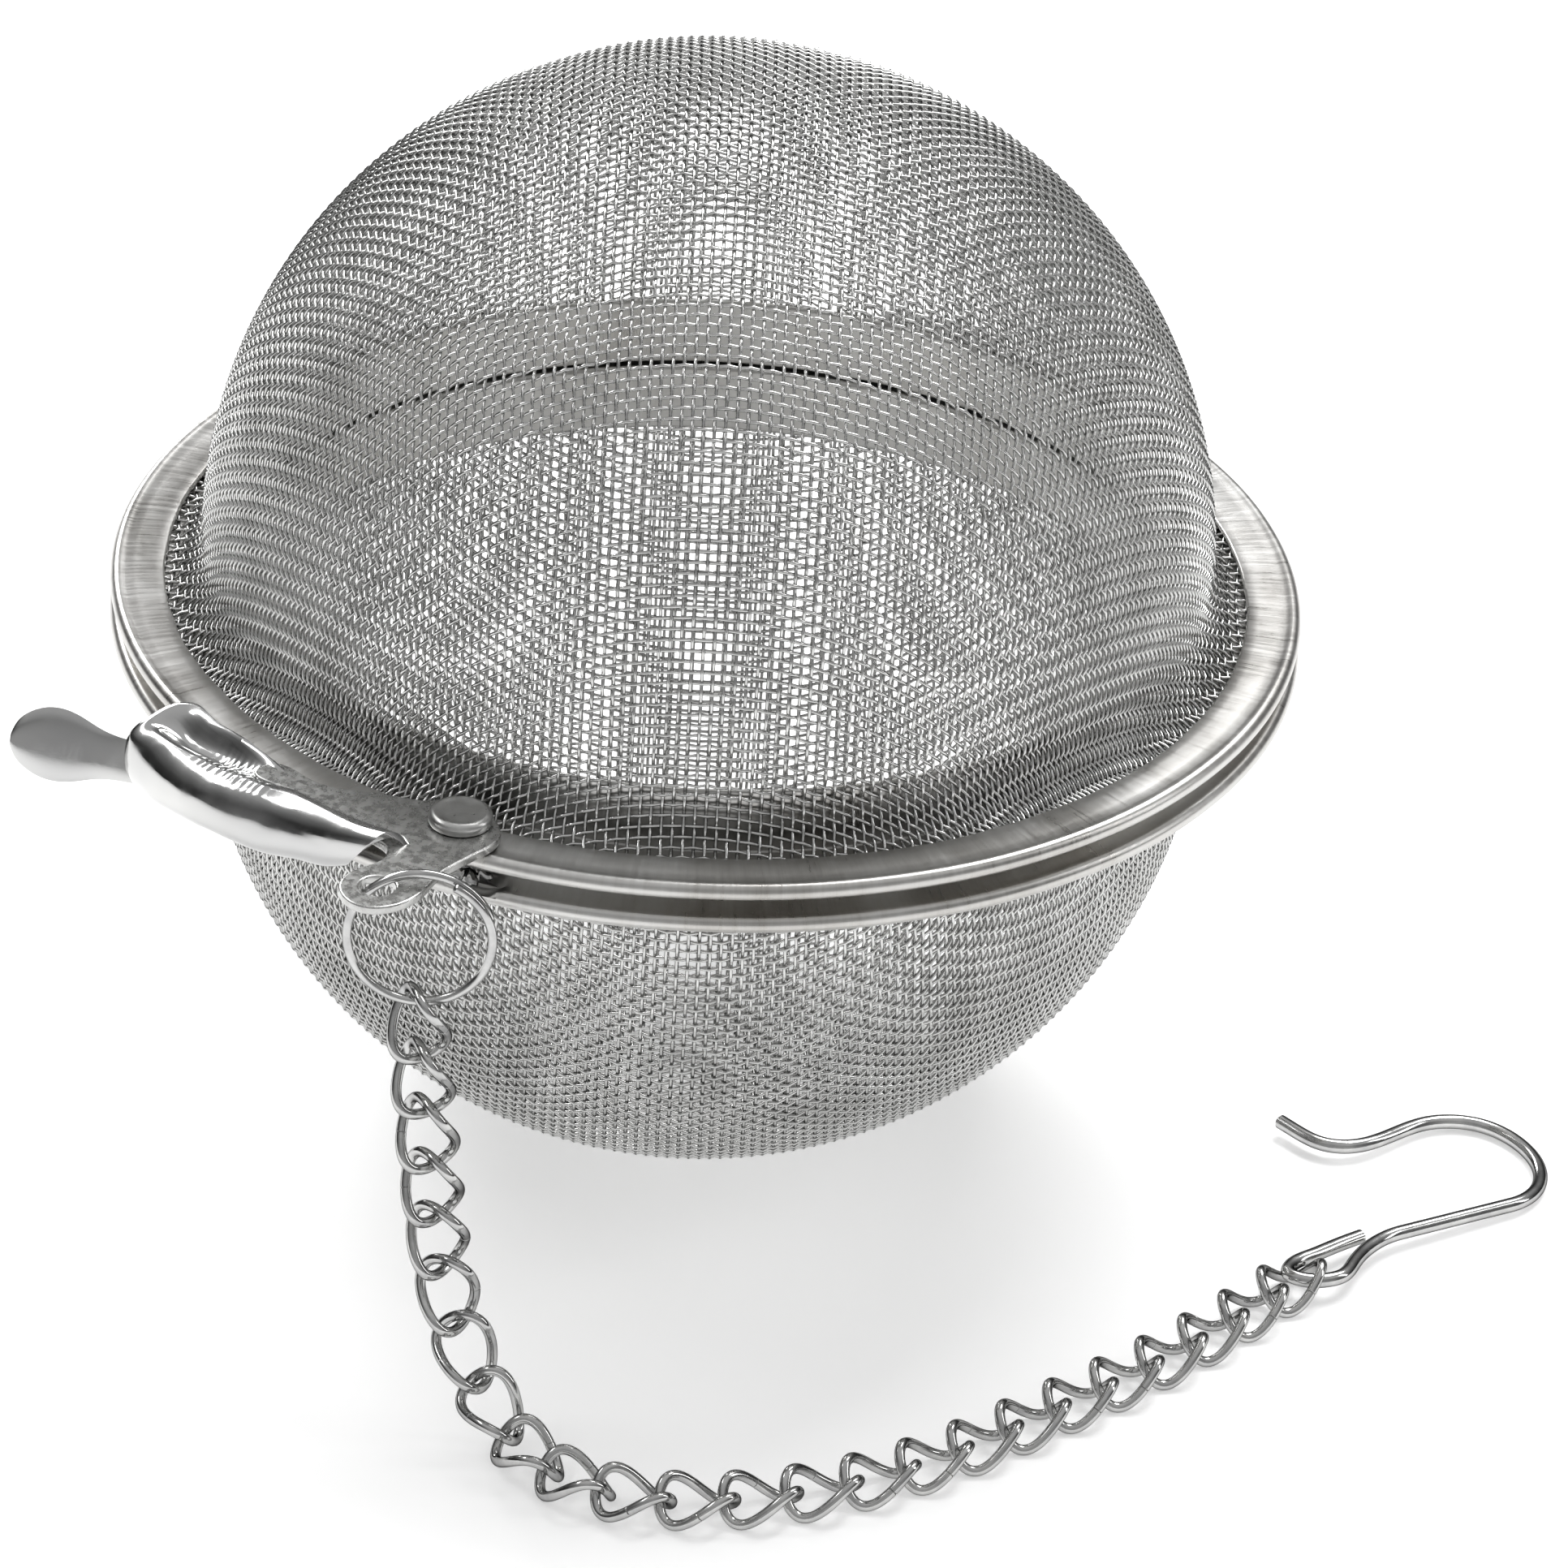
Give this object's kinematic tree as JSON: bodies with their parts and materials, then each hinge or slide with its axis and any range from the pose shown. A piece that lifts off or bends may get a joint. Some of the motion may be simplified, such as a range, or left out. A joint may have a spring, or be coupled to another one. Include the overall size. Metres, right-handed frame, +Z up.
{
  "type": "tea infuser",
  "caption": "Stainless wire-mesh ball tea infuser with folded rims, swinging latch lever, fine curb chain and bent wire cup hook.",
  "frame": {"origin": "middle of the small flat under the lower dome, where the closed ball stands", "axes": "+Z up through both poles; +Y towards the hinge; -Y towards the latch rivet; +X to the right when the latch faces the viewer"},
  "size_m": [0.0986, 0.0943, 0.0759],
  "materials": {
    "wire_cloth": "satin woven wire",
    "rim_sheet": "satin",
    "lever_sheet": "polished",
    "rivet_metal": "satin",
    "hinge_metal": "satin",
    "chain_wire": "polished"
  },
  "bodies": {
    "lower_half": {"lower_mesh": "wire_cloth", "lower_rim": "rim_sheet", "hinge_leaf_lower": "hinge_metal", "hinge_pin": "hinge_metal"},
    "upper_half": {"upper_mesh": "wire_cloth", "upper_rim": "rim_sheet", "hinge_leaf_upper": "hinge_metal", "latch_rivet": "rivet_metal"},
    "lever": {"latch_lever": "lever_sheet"},
    "ring": {"split_ring": "chain_wire"},
    "link_01": {"chain_link_01": "chain_wire"},
    "link_02": {"chain_link_02": "chain_wire"},
    "link_03": {"chain_link_03": "chain_wire"},
    "link_04": {"chain_link_04": "chain_wire"},
    "link_05": {"chain_link_05": "chain_wire"},
    "link_06": {"chain_link_06": "chain_wire"},
    "link_07": {"chain_link_07": "chain_wire"},
    "link_08": {"chain_link_08": "chain_wire"},
    "link_09": {"chain_link_09": "chain_wire"},
    "link_10": {"chain_link_10": "chain_wire"},
    "link_11": {"chain_link_11": "chain_wire"},
    "link_12": {"chain_link_12": "chain_wire"},
    "link_13": {"chain_link_13": "chain_wire"},
    "link_14": {"chain_link_14": "chain_wire"},
    "link_15": {"chain_link_15": "chain_wire"},
    "link_16": {"chain_link_16": "chain_wire"},
    "link_17": {"chain_link_17": "chain_wire"},
    "link_18": {"chain_link_18": "chain_wire"},
    "link_19": {"chain_link_19": "chain_wire"},
    "link_20": {"chain_link_20": "chain_wire"},
    "link_21": {"chain_link_21": "chain_wire"},
    "link_22": {"chain_link_22": "chain_wire"},
    "link_23": {"chain_link_23": "chain_wire"},
    "link_24": {"chain_link_24": "chain_wire"},
    "hook": {"cup_hook": "chain_wire"}
  },
  "joints": [
    {"name": "lid_hinge", "type": "hinge", "parent": "lower_half", "child": "upper_half", "pos_m": [0, 0.0413, 0.0376], "axis": [-1, 0, 0], "range_deg": [0, 150]},
    {"name": "latch_pivot", "type": "hinge", "parent": "upper_half", "child": "lever", "pos_m": [0, -0.0376, 0.03945], "axis": [0, 0, 1], "range_deg": [0, 32]},
    {"name": "ring_swing", "type": "hinge", "parent": "lever", "child": "ring", "pos_m": [0.00053, -0.04645, 0.03975], "axis": [0.3987, -0.9171, 0], "range_deg": [-5, 8]},
    {"name": "link_01_swing", "type": "hinge", "parent": "ring", "child": "link_01", "pos_m": [0.00132, -0.04611, 0.03185], "axis": [0.9943, 0.0612, 0.0875], "range_deg": [-12, 12]},
    {"name": "link_02_swing", "type": "hinge", "parent": "link_01", "child": "link_02", "pos_m": [0.00168, -0.04594, 0.02773], "axis": [0.0637, -0.9977, -0.0231], "range_deg": [-15, 15]},
    {"name": "link_03_swing", "type": "hinge", "parent": "link_02", "child": "link_03", "pos_m": [0.00206, -0.04582, 0.02361], "axis": [-0.9722, -0.2085, -0.1062], "range_deg": [-15, 15]},
    {"name": "link_04_swing", "type": "hinge", "parent": "link_03", "child": "link_04", "pos_m": [0.00248, -0.04569, 0.01949], "axis": [-0.3578, 0.9324, 0.0506], "range_deg": [-15, 15]},
    {"name": "link_05_swing", "type": "hinge", "parent": "link_04", "child": "link_05", "pos_m": [0.00281, -0.04534, 0.01538], "axis": [0.8627, 0.4843, 0.1456], "range_deg": [-15, 15]},
    {"name": "link_06_swing", "type": "hinge", "parent": "link_05", "child": "link_06", "pos_m": [0.00329, -0.04496, 0.01129], "axis": [0.5634, -0.7911, 0.2381], "range_deg": [-15, 15]},
    {"name": "link_07_swing", "type": "hinge", "parent": "link_06", "child": "link_07", "pos_m": [0.00457, -0.04523, 0.00736], "axis": [-0.6422, -0.7427, -0.19], "range_deg": [-15, 15]},
    {"name": "link_08_swing", "type": "hinge", "parent": "link_07", "child": "link_08", "pos_m": [0.00682, -0.04632, 0.00406], "axis": [-0.4022, 0.3506, -0.8458], "range_deg": [-15, 15]},
    {"name": "link_09_swing", "type": "hinge", "parent": "link_08", "child": "link_09", "pos_m": [0.00993, -0.04799, 0.00189], "axis": [0.4249, 0.9052, 0.0026], "range_deg": [-15, 15]},
    {"name": "link_10_swing", "type": "hinge", "parent": "link_09", "child": "link_10", "pos_m": [0.01366, -0.04974, 0.00148], "axis": [-0.0247, 0.0033, 0.9997], "range_deg": [-15, 15]},
    {"name": "link_11_swing", "type": "hinge", "parent": "link_10", "child": "link_11", "pos_m": [0.01776, -0.05029, 0.00158], "axis": [0.2624, -0.9648, -0.0192], "range_deg": [-15, 15]},
    {"name": "link_12_swing", "type": "hinge", "parent": "link_11", "child": "link_12", "pos_m": [0.02175, -0.0492, 0.00146], "axis": [-0.0239, 0.0045, -0.9997], "range_deg": [-15, 15]},
    {"name": "link_13_swing", "type": "hinge", "parent": "link_12", "child": "link_13", "pos_m": [0.02535, -0.04716, 0.00139], "axis": [-0.6046, 0.7965, 0], "range_deg": [-15, 15]},
    {"name": "link_14_swing", "type": "hinge", "parent": "link_13", "child": "link_14", "pos_m": [0.02865, -0.04466, 0.0014], "axis": [-0.0031, -0.0031, 1], "range_deg": [-15, 15]},
    {"name": "link_15_swing", "type": "hinge", "parent": "link_14", "child": "link_15", "pos_m": [0.03157, -0.04173, 0.00142], "axis": [0.7938, -0.6082, -0.0008], "range_deg": [-15, 15]},
    {"name": "link_16_swing", "type": "hinge", "parent": "link_15", "child": "link_16", "pos_m": [0.03409, -0.03844, 0.00141], "axis": [-0.0019, -0.0005, -1], "range_deg": [-15, 15]},
    {"name": "link_17_swing", "type": "hinge", "parent": "link_16", "child": "link_17", "pos_m": [0.03624, -0.0349, 0.00141], "axis": [-0.8929, 0.4502, 0], "range_deg": [-15, 15]},
    {"name": "link_18_swing", "type": "hinge", "parent": "link_17", "child": "link_18", "pos_m": [0.0381, -0.0312, 0.00141], "axis": [-0.0002, -0.0004, 1], "range_deg": [-15, 15]},
    {"name": "link_19_swing", "type": "hinge", "parent": "link_18", "child": "link_19", "pos_m": [0.03987, -0.02746, 0.00141], "axis": [0.904, -0.4275, 0], "range_deg": [-15, 15]},
    {"name": "link_20_swing", "type": "hinge", "parent": "link_19", "child": "link_20", "pos_m": [0.04164, -0.02372, 0.00141], "axis": [-0.0002, -0.0001, -1], "range_deg": [-15, 15]},
    {"name": "link_21_swing", "type": "hinge", "parent": "link_20", "child": "link_21", "pos_m": [0.04331, -0.01993, 0.00141], "axis": [-0.9326, 0.361, 0], "range_deg": [-15, 15]},
    {"name": "link_22_swing", "type": "hinge", "parent": "link_21", "child": "link_22", "pos_m": [0.04481, -0.01607, 0.00141], "axis": [0, 0, 1], "range_deg": [-15, 15]},
    {"name": "link_23_swing", "type": "hinge", "parent": "link_22", "child": "link_23", "pos_m": [0.04613, -0.01215, 0.00141], "axis": [0.9579, -0.287, 0], "range_deg": [-15, 15]},
    {"name": "link_24_swing", "type": "hinge", "parent": "link_23", "child": "link_24", "pos_m": [0.04732, -0.00818, 0.00141], "axis": [0, 0, -1], "range_deg": [-15, 15]},
    {"name": "hook_swing", "type": "hinge", "parent": "link_24", "child": "hook", "pos_m": [0.04842, -0.00419, 0.00141], "axis": [0, 0, 1], "range_deg": [-12, 12]}
  ]
}
